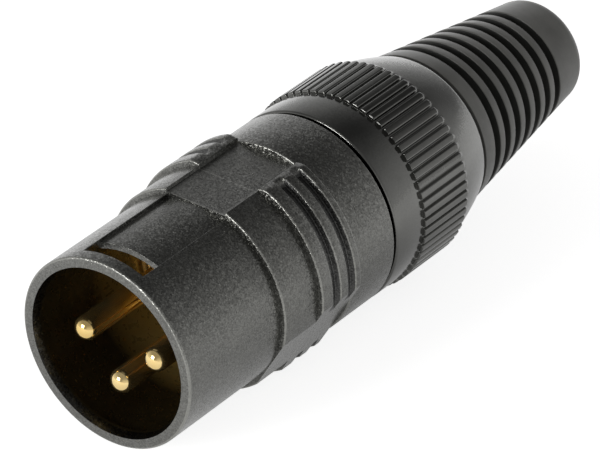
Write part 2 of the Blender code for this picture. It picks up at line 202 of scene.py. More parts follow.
# Knurled ring. Places go across a tooth from -1 to 1. The front steps are how far behind the
# ring's front they are and how much of a tooth stands there, the rear ones how far ahead of its
# rear end.
knurl_front = 0.0338
knurl_rear = 0.0407
knurl_teeth = 65
crest_radius = 0.01022
root_radius = 0.00990
crest_share = 0.66
root_share = 0.90
tooth_crown = 0.06
tooth_lip = 0.04
tooth_arch = 0.00042
tooth_slope = 0.00026
tooth_places = (-1.0, -0.94, -0.86, -0.78, -0.70, -0.60, -0.40,
                0.0, 0.40, 0.60, 0.70, 0.78, 0.86, 0.94)
tooth_front = ((0.0, 0.75), (0.00002, 0.92), (0.00005, 0.99), (0.00008, 1.0))
tooth_rear = (0.00080, 0.00074, 0.00068, 0.00060, 0.00052, 0.00044, 0.00036, 0.00024, 0.00012, 0.0)
inner_columns = 2 * knurl_teeth

# Boot. The grooves' painted shade lies between two shares of their depth.
boot_front_radius = 0.0083
boot_taper = 0.1454
boot_rear_round = 0.0016
boot_end_steps = 12
boot_columns = 160
boot_cable_radius = 0.0033
rib_front = 0.0479
rib_pitch = 0.00207
rib_grooves = 7
rib_width = 0.00115
rib_depth = 0.00092
rib_front_slope = 0.00008
rib_rear_slope = 0.00018
rib_lip = 0.00009
rib_root = 0.00016
rib_painted_shade = (0.12, 1.1)

# Contacts
pin_radius = 0.00118
pin_dome = 0.85
pin_dome_steps = 12
pin_columns = 40
pin_circle_radius = 0.0040
pin_clock_angles = {"pin_1": -90.0, "pin_2": 90.0, "pin_3": 180.0}
pin_collar_front = 0.0203
pin_collar_radius = 0.0016
cup_radius = 0.0015
cup_bore_radius = 0.00105
cup_front = 0.0275
cup_bore_depth = 0.0040
cup_drill_point = 0.0005
ring_outer = 0.0079
ring_thickness = 0.0004
ring_bead = 0.00015
ring_beads = 3
ring_split_angle = 237.0
ring_split_width = 6.0
ring_bead_steps = 8
ring_columns = 120

# Camera: its place from the mouth's centre and the way it looks
camera_from_mouth = Vector((0.21190, -0.24845, 0.22501))
camera_right = Vector((0.79375, 0.60824, 0.0))
camera_down = Vector((0.33094, -0.43188, -0.83902))
camera_forward = Vector((-0.51032, 0.66597, -0.54410))
camera_lens = 270.0
camera_sensor = 36.0
camera_reach = (0.01, 10.0)

# Surround, floor and lamp. A span moves a value from its first two numbers to its last two.
white = (1.0, 1.0, 1.0, 1.0)
world_fall = (0.0, 0.72, 0.75, 0.22)
world_front = (0.3, -0.2, 0.0, 0.28)
world_middle = (0.08, 0.50, 0.36, 1.0)
world_middle_foot = (0.02, 0.12, 0.0, 1.0)
floor_half = 1.5
floor_lift = 0.80
floor_echo = 0.58
# Painted shadow: the floor's glow that metal reflects fades near the plug
floor_painted_shadow = (0.012, 0.055, 0.40, 1.0)
floor_roughness = 0.9
floor_tones = ((0.86, 0.86, 0.86), (0.89, 0.89, 0.89))
floor_tone_scale = 6.0
key_direction = Vector((-0.25, -0.92, 0.30))
key_distance = 0.9
key_size = 0.3
key_power = 3.4

# What the finishes share: the parts of a noise over which tone and roughness drift, and the
# depth of an uneven skin
tone_span = (0.35, 0.65)
tone_detail = 4.0
gloss_span = (0.3, 0.7)
skin_depth = 0.00002

# Black metal
shell_tone = (0.090, 0.090, 0.081)
shell_roughness = 0.30
shell_grain = 1.0
# Painted shade in the grip grooves and at the mouth's lead-in
painted_shade_tone = (0.022, 0.022, 0.021)
painted_shade_grain = 0.5
# Painted highlight: a lighter tone on the casting's rounded edges and groove lips
painted_highlight_tone = (0.24, 0.24, 0.22)
cap_tone = (0.120, 0.120, 0.112)
cap_roughness = 0.13
cap_grain = 0.14
metal_tone_scale = 260.0
metal_tone_drift = 0.08
metal_gloss_scale = 3000.0
metal_gloss_drift = 0.15
coat_weight = 0.8
coat_smoothing = 0.7
glint_scale = 8500.0
glint_tone = (0.36, 0.36, 0.34)
glint_share = 0.34
facet_scale = 0.9 * glint_scale
facet_tilt = 0.42
pit_scale = 0.5 * glint_scale
pit_strength = 0.5
pit_depth = 0.00003

# Inside of the mouth: painted shade near its front, tinted warm by painted gold reflection, and a
# painted gold reflection deep inside
bore_metallic = 0.5
bore_roughness = 0.30
bore_painted_shade_tones = ((0.020, 0.015, 0.006), (0.030, 0.023, 0.010))
bore_painted_reflection_tones = ((0.80, 0.57, 0.17), (0.86, 0.63, 0.21))
# Over these stations the painted shade gives way to the painted reflection
bore_reflection_fade = (0.008, 0.016)
bore_tone_scale = 400.0
bore_tone_detail = 2.0
bore_tone_span = (0.2, 0.8)
bore_gloss = (0.24, 0.36)
bore_gloss_scale = 1800.0
bore_skin = {"scale": 2600.0, "detail": 3.0, "strength": 0.08}

# Gold
gold_tones = ((0.92, 0.65, 0.24), (0.98, 0.75, 0.36))
gold_tone_scale = 300.0
gold_gloss_scale = 1500.0
gold_gloss_drift = (0.8, 1.3)
turning_scale = 5200.0
turning_distortion = 0.6
turning_strength = 0.05
turning_depth = 0.00001
pin_finish = {"roughness": 0.10, "metallic": 0.95}
spring_finish = {"roughness": 0.32, "metallic": 0.6}

# Mouldings
rubber_tones = ((0.118, 0.117, 0.107), (0.156, 0.154, 0.142))
# Painted shade: near-black rubber for the boot's grooves
rubber_painted_shade_tones = ((0.016, 0.016, 0.014), (0.024, 0.024, 0.021))
rubber_sheen = 0.85
rubber_sheen_roughness = 0.35
rubber_finish = {"roughness": 0.4, "tone_scale": 420.0,
                 "gloss": (0.36, 0.46), "gloss_scale": 2400.0,
                 "skin": {"scale": 4200.0, "detail": 3.0, "strength": 0.25}}
insert_tones = ((0.010, 0.010, 0.010), (0.016, 0.015, 0.014))
insert_finish = {"roughness": 0.2, "tone_scale": 500.0,
                 "gloss": (0.16, 0.26), "gloss_scale": 1800.0,
                 "skin": {"scale": 700.0, "detail": 2.0, "strength": 0.1}}
clamp_tones = ((0.017, 0.017, 0.017), (0.026, 0.026, 0.025))
clamp_finish = {"roughness": 0.5, "tone_scale": 500.0,
                "gloss": (0.42, 0.58), "gloss_scale": 2200.0,
                "skin": {"scale": 3800.0, "detail": 3.0, "strength": 0.2}}


def at(station, radius, angle):
    """A point at a station, a radius and a clock angle in degrees."""
    turn = math.radians(angle)
    return Vector((radius * math.sin(turn), mouth_y + station, axis_z + radius * math.cos(turn)))


def ramp(value, low, high):
    """0 at low, 1 at high, with eased ends."""
    t = min(1.0, max(0.0, (value - low) / (high - low)))
    return t * t * (3.0 - 2.0 * t)


def quarter(size):
    """Steps of a quarter round: how far along from its start, and how far below its top."""
    for step in range(round_steps + 1):
        turn = math.radians(90.0 * step / round_steps)
        yield size * (1.0 - math.cos(turn)), size * (1.0 - math.sin(turn))


def rear_quarter(size):
    """Steps of a quarter round that ends a stretch, counted along from its end."""
    for below, ahead in quarter(size):
        yield -ahead, below


def round_corner(corner, before, after, size):
    """Points of an arc-like curve that rounds a profile's corner."""
    corner, before, after = Vector(corner), Vector(before), Vector(after)
    start = corner + (before - corner).normalized() * size
    end = corner + (after - corner).normalized() * size
    points = []
    for step in range(round_steps + 1):
        t = step / round_steps
        points.append(tuple(start.lerp(corner, t).lerp(corner.lerp(end, t), t)))
    return points


def rounded(profile):
    """A closed profile of (station, radius, rounding) turned into plain points."""
    points = []
    for index, (station, radius, size) in enumerate(profile):
        if size:
            before = profile[index - 1][:2]
            after = profile[(index + 1) % len(profile)][:2]
            points += round_corner((station, radius), before, after, size)
        else:
            points.append((station, radius))
    return points


def new_piece(name, bm, materials, body, node=None, crease=crease_angle):
    """Close a bmesh, shade it smooth and hang it on its body, hiding the CAD node that it stands
    for.
    """
    bmesh.ops.remove_doubles(bm, verts=bm.verts, dist=merge_distance)
    bmesh.ops.recalc_face_normals(bm, faces=bm.faces)
    mesh = bpy.data.meshes.new(name)
    bm.to_mesh(mesh)
    bm.free()
    mesh.shade_smooth()
    mesh.set_sharp_from_angle(angle=math.radians(crease))
    for material in materials:
        mesh.materials.append(material)
    obj = bpy.data.objects.new(name, mesh)
    bpy.context.collection.objects.link(obj)
    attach(obj, body)
    if node:
        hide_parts(node)


def lathe(bm, profile, columns, start=0.0, end=360.0, shift=Vector((0.0, 0.0, 0.0))):
    """Turn a closed profile of (station, radius) round the axis, or round a line beside it."""
    whole = abs(end - start) >= 360.0
    count = columns if whole else columns + 1
    rings = []
    for column in range(count):
        angle = start + (end - start) * column / columns
        rings.append([bm.verts.new(at(s, r, angle) + shift) for s, r in profile])
    for column in range(columns):
        ring, after = rings[column], rings[(column + 1) % count]
        for i in range(len(profile)):
            j = (i + 1) % len(profile)
            corners = [ring[i], ring[j]]
            if profile[j][1]:
                corners.append(after[j])
            if profile[i][1]:
                corners.append(after[i])
            if len(corners) > 2:
                bm.faces.new(corners)
    if not whole:
        bm.faces.new(rings[0])
        bm.faces.new(rings[-1])


def join_rows(bm, rows):
    """Faces between neighbouring rows of vertices that go right round."""
    for line, after in zip(rows, rows[1:]):
        for i in range(len(line)):
            j = (i + 1) % len(line)
            bm.faces.new((line[i], line[j], after[j], after[i]))


def level(radius):
    """The same radius at every angle."""
    def radius_at(angle):
        return radius
    return radius_at


def lowered(radius):
    """A level radius, less what an edge's round takes off."""
    def radius_less(below):
        return level(radius - below)
    return radius_less


def grips(drop=0.0, groove=0.0):
    """Radius over the grips: the crest line less a drop, less a share of a groove's depth."""
    def radius_at(angle):
        crest = (grip_radius - body_radius) * ramp(angle, grip_start_angle, grip_full_angle) - drop
        cut = groove * groove_depth * ramp(angle, groove_start_angle, groove_full_angle)
        return body_radius + max(0.0, crest) - cut
    return radius_at


def keyed(radius):
    """A radius that gives way to the keyways."""
    def radius_at(angle):
        return keyway_radius if abs(angle - 90.0) < keyway_angle else radius
    return radius_at


def flat_places(half_chord):
    """Places across a flat. Two of them are where it meets the front edge of the band."""
    meet = math.sqrt((band_radius - edge_round) ** 2 - flat_radius ** 2)
    edge = half_chord - flat_hold
    outer = [edge + (meet - edge) * k / flat_outer_steps for k in range(flat_outer_steps)]
    inner = [meet - 2 * meet * k / flat_inner_steps for k in range(flat_inner_steps + 1)]
    right = [half_chord] + outer
    return [-u for u in right] + [-u for u in inner] + right[::-1]


def brow_of(radius_at):
    """Radius and angle of the skin just outside the channel's wall, found in a few passes."""
    angle = grip_start_angle
    for _ in range(brow_passes):
        radius = radius_at(angle)
        angle = math.degrees(math.asin((channel_half_width + fine_round) / radius))
    return radius, angle


def half_section(radius_at, floor, over_grips):
    """Right half of a cross-section, as (x, z) from the middle of the channel to the bottom.

    Over the grips the two flats are cut, and the channel's floor is flat.
    """
    wall, corner = channel_half_width, fine_round
    bend = math.sqrt(0.5) * corner
    top = floor or radius_at(0.0)
    brow, brow_angle = brow_of(radius_at)
    half = []
    for column in range(floor_columns):
        x = (wall - corner) * column / (floor_columns - 1)
        half.append((x, top if over_grips else math.sqrt(top * top - x * x)))
    if floor:
        low = half[-1][1]
        high = brow * math.cos(math.radians(brow_angle))
        half += [(wall - corner + bend, low + corner - bend), (wall, low + corner),
                 (wall, high - corner), (wall + corner - bend, high - corner + bend)]
    else:
        for column in range(1, wall_columns + 1):
            x = wall - corner + 2 * corner * column / (wall_columns + 1)
            half.append((x, math.sqrt(top * top - x * x)))

    def add_on_skin(angle, radius):
        turn = math.radians(angle)
        half.append((radius * math.sin(turn), radius * math.cos(turn)))

    def sweep(low, high, steps):
        for step in range(steps + 1):
            angle = low + (high - low) * step / steps
            add_on_skin(angle, radius_at(angle))

    side = radius_at(flat_angle)
    half_chord = math.sqrt((side if over_grips else body_radius) ** 2 - flat_radius ** 2)
    reach = math.degrees(math.atan2(half_chord, flat_radius))
    first_edge, last_edge = flat_angle - reach, flat_angle + reach
    key_low = min(90.0 - keyway_angle, first_edge - key_spread)
    key_high = min(90.0 + keyway_angle, first_edge - key_gap)
    sweep(brow_angle, key_low - keyway_edge, side_steps)
    sweep(key_low + keyway_edge, key_high - keyway_edge, key_steps)
    sweep(key_high + keyway_edge, first_edge - flat_edge_angle, edge_steps)
    for place in flat_places(half_chord):
        turn = math.degrees(math.atan2(place, flat_radius))
        add_on_skin(flat_angle + turn, math.hypot(place, flat_radius) if over_grips else side)
    land = land_angle
    if over_grips and side > rest_land:
        land = 180.0 - math.degrees(math.acos(rest_land / side))
    sweep(last_edge + flat_edge_angle, land, belly_steps)
    for step in range(1, land_steps + 1):
        turn = math.radians(land + (180.0 - land) * step / land_steps)
        half.append((side * math.sin(turn), max(side * math.cos(turn), -rest_land)))
    return half


def section(bm, station, radius_at, floor=None, over_grips=False):
    """A whole row of shell vertices, from the top round to the right, the bottom and the left."""
    half = half_section(radius_at, floor, over_grips)
    points = half + [(-x, z) for x, z in reversed(half[1:-1])]
    return [bm.verts.new((x, mouth_y + station, axis_z + z)) for x, z in points]


def shell_outside(bm):
    """Rows of the shell's outside, finishes of its strips, and the rows that bound an opening.

    A strip of faces goes by the number of the row that it starts at. The second set of
    finishes is for the grips alone.
    """
    rows = []
    finish = {}
    grip_finish = {}
    on_grips = (rear_channel_height, True)

    def add(station, radius_at, *place):
        rows.append(section(bm, station, radius_at, *place))
        return len(rows) - 1

    def add_edge(station, steps, radius_less, *place):
        """Rows round an edge of the casting, whose strips get a painted highlight."""
        first = len(rows)
        for along, below in steps:
            add(station + along, radius_less(below), *place)
        finish.update(dict.fromkeys(range(first, len(rows) - 1), painted_highlight_index))

    barrel = level(barrel_radius)
    add_edge(0.0, quarter(rim_round), lowered(barrel_radius))
    add(window_front, barrel)
    hole_front = add(window_front, barrel, channel_floor)
    hole_rear = add(window_rear, barrel, channel_floor - fine_round)
    for along, below in quarter(fine_round):
        add(window_rear + along, barrel, channel_floor - below)
    add(barrel_length, barrel, channel_floor)
    add_edge(barrel_length, quarter(edge_round), lowered(body_radius), *on_grips)
    add(grip_front, level(body_radius), *on_grips)
    add_edge(grip_front, quarter(edge_round), grips, *on_grips)
    for front, rear in groove_edges:
        groove = []
        for edge, sense in ((front, 1), (rear, -1)):
            for along, share in groove_steps[::sense]:
                groove.append(add(edge + sense * along, grips(0.0, share), *on_grips))
        strips = groove[:-1]
        lips = strips[:groove_lip_strips] + strips[-groove_lip_strips:]
        # The groove's strips get painted shade
        grip_finish.update(dict.fromkeys(strips, painted_shade_index))
        # The groove's lips get a painted highlight
        grip_finish.update(dict.fromkeys(lips, painted_highlight_index))
    add_edge(body_end, rear_quarter(edge_round), grips, *on_grips)
    add_edge(body_end, quarter(edge_round), lowered(band_radius))
    add_edge(band_end, rear_quarter(edge_round), lowered(band_radius))
    tail_front = add(band_end, keyed(tail_radius))
    add(tail_end - tail_lead_in, level(tail_radius))
    tail_rear = add(tail_end, level(tail_radius - tail_lead_in))
    return rows, (finish, grip_finish), (hole_front, hole_rear, tail_front, tail_rear)


def shell_inside(bm):
    """Rows of the shell's inside, from the tail's end forward to the mouth."""
    places = (
        (tail_end, level(tail_bore_radius)), (band_end, keyed(tail_bore_radius)),
        (keyway_front, keyed(tail_bore_radius)), (keyway_front, level(tail_bore_radius)),
        (web_rear, level(tail_bore_radius)), (web_rear, level(web_bore_radius)),
        (web_front, level(web_bore_radius)), (web_front, level(bore_radius)),
        (seat_rear, level(bore_radius)),
        (window_rear, level(seat_radius)), (window_front, level(seat_radius)),
        (seat_front, level(seat_radius)), (seat_front, level(bore_radius)),
        (rim_lead, level(bore_radius)), (0.0, level(bore_radius + rim_lead_height)),
    )
    rows = [section(bm, station, radius_at) for station, radius_at in places]
    bore_rear = [station for station, radius_at in places].index(window_rear)
    return rows, bore_rear


def build_shell(materials):
    """The die-cast shell as one fine skin, with the window and the tail's keyways cut through."""
    bm = bmesh.new()
    outside, (finish, grip_finish), bounds = shell_outside(bm)
    hole_front, hole_rear, tail_front, tail_rear = bounds
    inside, bore_rear = shell_inside(bm)
    rows = outside + inside
    columns = len(rows[0])
    first_inside = len(outside)
    lead_in = len(rows) - 2
    window_columns = (window_column, columns - window_column)
    window = set(range(window_columns[0])) | set(range(window_columns[1], columns))
    key_columns = (key_first_column, key_last_column,
                   columns - key_last_column, columns - key_first_column)
    keys = set(range(*key_columns[:2])) | set(range(*key_columns[2:]))

    def is_open(row, column):
        if column in window and row in (hole_front, first_inside + bore_rear):
            return True
        return column in keys and (tail_front <= row <= tail_rear or row == first_inside)

    def finish_of(row, column):
        """Place of a face's finish in the shell's material slots."""
        # The mouth's lead-in gets painted shade
        if row == lead_in:
            return painted_shade_index
        # The bore gets painted shade and a painted gold reflection
        if first_inside <= row < lead_in:
            return painted_bore_index
        near = min(column, columns - 1 - column)
        if grip_column <= near < flat_column or near >= belly_column:
            return grip_finish.get(row, finish.get(row, 0))
        return finish.get(row, 0)

    for row, line in enumerate(rows):
        after = rows[(row + 1) % len(rows)]
        for column in range(columns):
            if not is_open(row, column):
                across = (column + 1) % columns
                face = bm.faces.new((line[column], line[across], after[across], after[column]))
                face.material_index = finish_of(row, column)
    front_edge, rear_edge = inside[bore_rear + 1], inside[bore_rear]
    for column in window:
        across = (column + 1) % columns
        for line, edge in ((outside[hole_front], front_edge), (outside[hole_rear], rear_edge)):
            bm.faces.new((line[column], line[across], edge[across], edge[column]))
    for column in window_columns:
        bm.faces.new((outside[hole_front][column], outside[hole_rear][column],
                      rear_edge[column], front_edge[column]))
    for column in key_columns:
        line = [outside[row][column] for row in range(tail_front, tail_rear + 1)]
        bm.faces.new(line + [inside[0][column], inside[1][column]])
    new_piece("shell_casting", bm, materials, "housing", node="shell")


def build_thread(material):
    """The thread that the cap runs on, as a helical ridge with a gap at each keyway."""
    bm = bmesh.new()
    steps = int(thread_steps * (thread_rear - thread_front) / thread_pitch)
    half = thread_pitch * thread_share
    sunk = tail_radius - thread_sink
    runs = [[]]
    for step in range(steps + 1):
        angle = 360.0 * step / thread_steps
        station = thread_front + thread_pitch * step / thread_steps
        height = thread_height * min(1.0, step / thread_fade, (steps - step) / thread_fade)
        if abs(angle % 180.0 - 90.0) < keyway_angle + thread_keyway_gap:
            runs.append([])
            continue
        profile = ((-half, sunk), (-half * thread_crest, tail_radius + height),
                   (half * thread_crest, tail_radius + height), (half, sunk))
        runs[-1].append([at(station + along, radius, -angle) for along, radius in profile])
    for run in runs:
        if len(run) > 1:
            rows = [[bm.verts.new(point) for point in line] for line in run]
            join_rows(bm, rows)
            bm.faces.new(rows[0])
            bm.faces.new(rows[-1])
    new_piece("shell_thread", bm, (material,), "housing")


def cap_tail_radius(station):
    """Outside radius of the cap's tail, a taper with a slight swell."""
    t = (station - knurl_rear) / (cap_rear - knurl_rear)
    straight = root_radius + (cap_rear_radius - root_radius) * t
    return straight + 4 * cap_tail_bulge * t * (1.0 - t)


def tooth_shape(share):
    """Height of a tooth from 0 to 1, at a place across it from -1 to 1."""
    away = abs(share)
    if away <= crest_share:
        return 1.0 - tooth_crown * (away / crest_share) ** 4
    return (1.0 - tooth_crown) * (1.0 - ramp(away, crest_share - tooth_lip, root_share))


def build_cap(material):
    """The screw cap: skirt, knurled ring with arched tooth ends, tail, tube and bores."""
    bm = bmesh.new()
    pitch = 360.0 / knurl_teeth
    spots = [(tooth, place) for tooth in range(knurl_teeth) for place in tooth_places]
    angles = [(tooth + place / 2) * pitch for tooth, place in spots]

    def ring(station, radius):
        return [bm.verts.new(at(station, radius, angle)) for angle in angles]

    def tooth_row(station, rise):
        """A row across the teeth. rise is how much of a tooth stands there at each place."""
        line = []
        for angle, (tooth, place) in zip(angles, spots):
            height = (crest_radius - root_radius) * tooth_shape(place) * rise(place)
            line.append(bm.verts.new(at(station, root_radius + height, angle)))
        return line

    def even(share):
        """The same share of a tooth at every place across it."""
        return lambda place: share

    def arched(depth):
        """How much of a tooth stands at a depth ahead of the knurl's rear end."""
        def rise(place):
            across = min(1.0, abs(place) / root_share)
            limit = tooth_arch * (1.0 - math.sqrt(1.0 - across * across))
            return ramp(depth - limit, 0.0, tooth_slope)
        return rise

    rows = [ring(cap_front, cap_bore_radius)]
    for along, below in quarter(cap_front_round):
        rows.append(ring(cap_front + along, skirt_radius - below))
    rows.append(ring(knurl_front - skirt_lip, skirt_radius))
    rows.append(ring(knurl_front, root_radius + skirt_foot))
    for along, share in tooth_front:
        rows.append(tooth_row(knurl_front + along, even(share)))
    for depth in tooth_rear:
        rows.append(tooth_row(knurl_rear - depth, arched(depth)))
    for step in range(1, cap_tail_steps + 1):
        station = knurl_rear + (cap_rear - edge_round - knurl_rear) * step / cap_tail_steps
        rows.append(ring(station, cap_tail_radius(station)))
    for station, radius in round_corner((cap_rear, cap_rear_radius), (knurl_rear, cap_rear_radius),
                                        (cap_rear, tube_radius), edge_round)[1:]:
        rows.append(ring(station, radius))
    join_rows(bm, rows)
    bead_end = tube_bead_front + tube_bead_length
    bead_top = tube_radius + tube_bead_height
    inner = (
        (cap_rear, tube_radius), (tube_bead_front, tube_radius), (tube_bead_front, bead_top),
        (bead_end - tube_bead_slope, bead_top), (bead_end, tube_radius), (tube_end, tube_radius),
        (tube_end, tube_bore_radius), (cone_rear, tube_bore_radius), (cone_rear, cone_rear_radius),
        (cone_front, cone_front_radius), (cone_front, tail_bore_radius),
        (thread_bore_end, tail_bore_radius), (thread_bore_end, cap_bore_radius),
    )
    stride = len(angles) // inner_columns
    lines = [[bm.verts.new(at(s, r, angles[i * stride])) for i in range(inner_columns)]
             for s, r in inner]
    join_rows(bm, lines)
    for fine, line in ((rows[-1], lines[0]), (rows[0], lines[-1])):
        for i in range(inner_columns):
            edge = [fine[(i * stride + k) % len(angles)] for k in range(stride + 1)]
            bm.faces.new(edge + [line[(i + 1) % inner_columns], line[i]])
    new_piece("cap_turned", bm, (material,), "cap", node="cap",
              crease=cap_crease_angle)


def boot_radius(station):
    """The boot's even taper."""
    return boot_front_radius - boot_taper * (station - boot_front)


def build_boot(material, groove):
    """The ribbed rubber boot, with soft lips on its ribs and a rounded end."""
    profile = [(boot_front, tube_radius + fit_gap, 0.0), (boot_front, boot_front_radius, rib_lip)]
    for index in range(rib_grooves):
        start = rib_front + rib_pitch * index
        end = start + rib_width
        floor = boot_radius((start + end) / 2) - rib_depth
        profile += [
            (start, boot_radius(start), rib_lip),
            (start + rib_front_slope, floor, rib_root),
            (end - rib_rear_slope, floor, rib_root),
            (end, boot_radius(end), rib_lip),
        ]
    shoulder = overall_length - boot_rear_round
    points = rounded(profile + [(shoulder, boot_radius(shoulder), 0.0)])[:-1]
    for step in range(boot_end_steps + 1):
        turn = math.radians(90.0 * step / boot_end_steps)
        points.append((shoulder + boot_rear_round * math.sin(turn),
                       boot_radius(shoulder) - boot_rear_round * (1.0 - math.cos(turn))))
    socket = tube_radius + fit_gap
    bead = socket + tube_bead_height
    bead_end = tube_bead_front + tube_bead_length + fit_gap
    points += [
        (overall_length, boot_cable_radius + edge_round),
        (overall_length - edge_round, boot_cable_radius),
        (tube_end + fit_gap, boot_cable_radius),
        (tube_end + fit_gap, socket),
        (bead_end, socket),
        (bead_end, bead),
        (tube_bead_front - fit_gap, bead),
        (tube_bead_front - fit_gap, socket),
    ]
    bm = bmesh.new()
    lathe(bm, points, boot_columns)
    # Faces deep in the grooves get painted shade
    for face in bm.faces:
        centre = face.calc_center_median()
        station = centre.y - mouth_y
        depth = boot_radius(station) - math.hypot(centre.x, centre.z - axis_z)
        in_groove = rib_painted_shade[0] * rib_depth < depth < rib_painted_shade[1] * rib_depth
        if rib_front < station < shoulder and in_groove:
            face.material_index = 1
    new_piece("boot_moulding", bm, (material, groove), "cap", node="boot")


def build_pin(name, angle, material):
    """A turned and polished contact pin with a domed tip and a solder cup."""
    profile = [(pin_tip, 0.0)]
    for step in range(1, pin_dome_steps + 1):
        turn = math.radians(90.0 * step / pin_dome_steps)
        profile.append((pin_tip + pin_radius * pin_dome * (1.0 - math.cos(turn)),
                        pin_radius * math.sin(turn)))
    cup_bottom = cup_end - cup_bore_depth
    profile += [
        (pin_collar_front, pin_radius),
        (pin_collar_front, pin_collar_radius),
        (cup_front - fit_gap, pin_collar_radius),
        (cup_front, cup_radius),
        (cup_end, cup_radius),
        (cup_end, cup_bore_radius),
        (cup_bottom, cup_bore_radius),
        (cup_bottom - cup_drill_point, 0.0),
    ]
    bm = bmesh.new()
    lathe(bm, profile, pin_columns, shift=at(0.0, pin_circle_radius, angle) - at(0.0, 0.0, 0.0))
    new_piece(f"{name}_polished", bm, (material,), "housing", node=name)


def build_ground_ring(material):
    """The beaded spring strip inside the mouth, with round beads and open ends."""
    inner = ring_outer - ring_thickness
    pitch = (ring_rear - ring_front) / (2 * ring_beads + 1)
    profile = [(ring_front, ring_outer), (ring_front, inner)]
    for bead in range(ring_beads):
        start = ring_front + pitch * (2 * bead + 1)
        for step in range(ring_bead_steps + 1):
            turn = math.pi * step / ring_bead_steps
            profile.append((start + pitch / 2 * (1.0 - math.cos(turn)),
                            inner - ring_bead * math.sin(turn)))
    profile += [(ring_rear, inner), (ring_rear, ring_outer)]
    start = ring_split_angle + ring_split_width / 2
    bm = bmesh.new()
    lathe(bm, profile, ring_columns, start, start + 360.0 - ring_split_width)
    new_piece("ground_spring", bm, (material,), "housing", node="ground_ring")


class Graph:
    """Short hand for a tree of shading nodes."""

    def __init__(self, tree):
        self.tree = tree

    def add(self, kind, **settings):
        node = self.tree.nodes.new(kind)
        for key, value in settings.items():
            setattr(node, key, value)
        return node

    def link(self, source, target):
        self.tree.links.new(source, target)

    def spread(self, value, low, high, to_low, to_high):
        """A value moved from one range to another, held at its ends."""
        node = self.add("ShaderNodeMapRange")
        for key, number in (("From Min", low), ("From Max", high),
                            ("To Min", to_low), ("To Max", to_high)):
            node.inputs[key].default_value = number
        self.link(value, node.inputs["Value"])
        return node.outputs["Result"]

    def calculate(self, operation, *values):
        """What an operation makes of plain numbers and sockets."""
        node = self.add("ShaderNodeMath", operation=operation)
        for value, socket in zip(values, node.inputs):
            if isinstance(value, float):
                socket.default_value = value
            else:
                self.link(value, socket)
        return node.outputs["Value"]


class Finish(Graph):
    """A material made of procedural nodes."""

    # Places of the colour sockets on a Mix node
    mix_inputs = (6, 7)
    mix_output = 2

    def __init__(self, name, roughness, metallic):
        self.material = bpy.data.materials.new(name)
        self.material.use_nodes = True
        super().__init__(self.material.node_tree)
        self.shader = self.tree.nodes["Principled BSDF"]
        self.fix("Roughness", roughness)
        self.fix("Metallic", metallic)
        self.place = self.add("ShaderNodeTexCoord").outputs["Object"]

    def fix(self, key, value):
        """Give one of the shader's sockets a value that is the same all over."""
        self.shader.inputs[key].default_value = value

    def drive(self, key, source):
        """Let one of the shader's sockets follow another node."""
        self.link(source, self.shader.inputs[key])

    def noise(self, scale, detail=2.0):
        node = self.add("ShaderNodeTexNoise")
        node.inputs["Scale"].default_value = scale
        node.inputs["Detail"].default_value = detail
        self.link(self.place, node.inputs["Vector"])
        return node.outputs["Fac"]

    def cells(self, scale):
        """A random colour for each small cell."""
        node = self.add("ShaderNodeTexVoronoi")
        node.inputs["Scale"].default_value = scale
        self.link(self.place, node.inputs["Vector"])
        return node.outputs["Color"]

    def grains(self, scale):
        """A random value for each small cell."""
        split = self.add("ShaderNodeSeparateColor")
        self.link(self.cells(scale), split.inputs["Color"])
        return split.outputs["Red"]

    def facets(self, scale, tilt):
        """A normal that leans its own way on each small cell, as on blasted metal."""
        centred = self.add("ShaderNodeVectorMath", operation="SUBTRACT")
        self.link(self.cells(scale), centred.inputs[0])
        centred.inputs[1].default_value = (0.5, 0.5, 0.5)
        lean = self.add("ShaderNodeVectorMath", operation="SCALE")
        self.link(centred.outputs["Vector"], lean.inputs[0])
        lean.inputs["Scale"].default_value = tilt
        tipped = self.add("ShaderNodeVectorMath", operation="ADD")
        self.link(self.add("ShaderNodeNewGeometry").outputs["Normal"], tipped.inputs[0])
        self.link(lean.outputs["Vector"], tipped.inputs[1])
        unit = self.add("ShaderNodeVectorMath", operation="NORMALIZE")
        self.link(tipped.outputs["Vector"], unit.inputs[0])
        return unit.outputs["Vector"]

    def mix(self, factor, *colours):
        """A colour between two, each a colour or a socket."""
        node = self.add("ShaderNodeMix", data_type="RGBA")
        self.link(factor, node.inputs["Factor"])
        for place, colour in zip(self.mix_inputs, colours):
            if isinstance(colour, tuple):
                node.inputs[place].default_value = (*colour, 1.0)
            else:
                self.link(colour, node.inputs[place])
        return node.outputs[self.mix_output]

    def bump(self, height, strength, depth, before=None):
        node = self.add("ShaderNodeBump")
        node.inputs["Strength"].default_value = strength
        node.inputs["Distance"].default_value = depth
        self.link(height, node.inputs["Height"])
        if before:
            self.link(before, node.inputs["Normal"])
        return node.outputs["Normal"]

    def tone_drift(self, scale, detail=tone_detail, span=tone_span):
        """A slow drift from 0 to 1, to mix tones by."""
        return self.spread(self.noise(scale, detail), *span, 0.0, 1.0)

    def drift_gloss(self, scale, low, high):
        """Let the roughness drift between two values."""
        self.drive("Roughness", self.spread(self.noise(scale), *gloss_span, low, high))

    def roughen(self, scale, detail, strength):
        """Make the skin slightly uneven."""
        self.drive("Normal", self.bump(self.noise(scale, detail), strength, skin_depth))


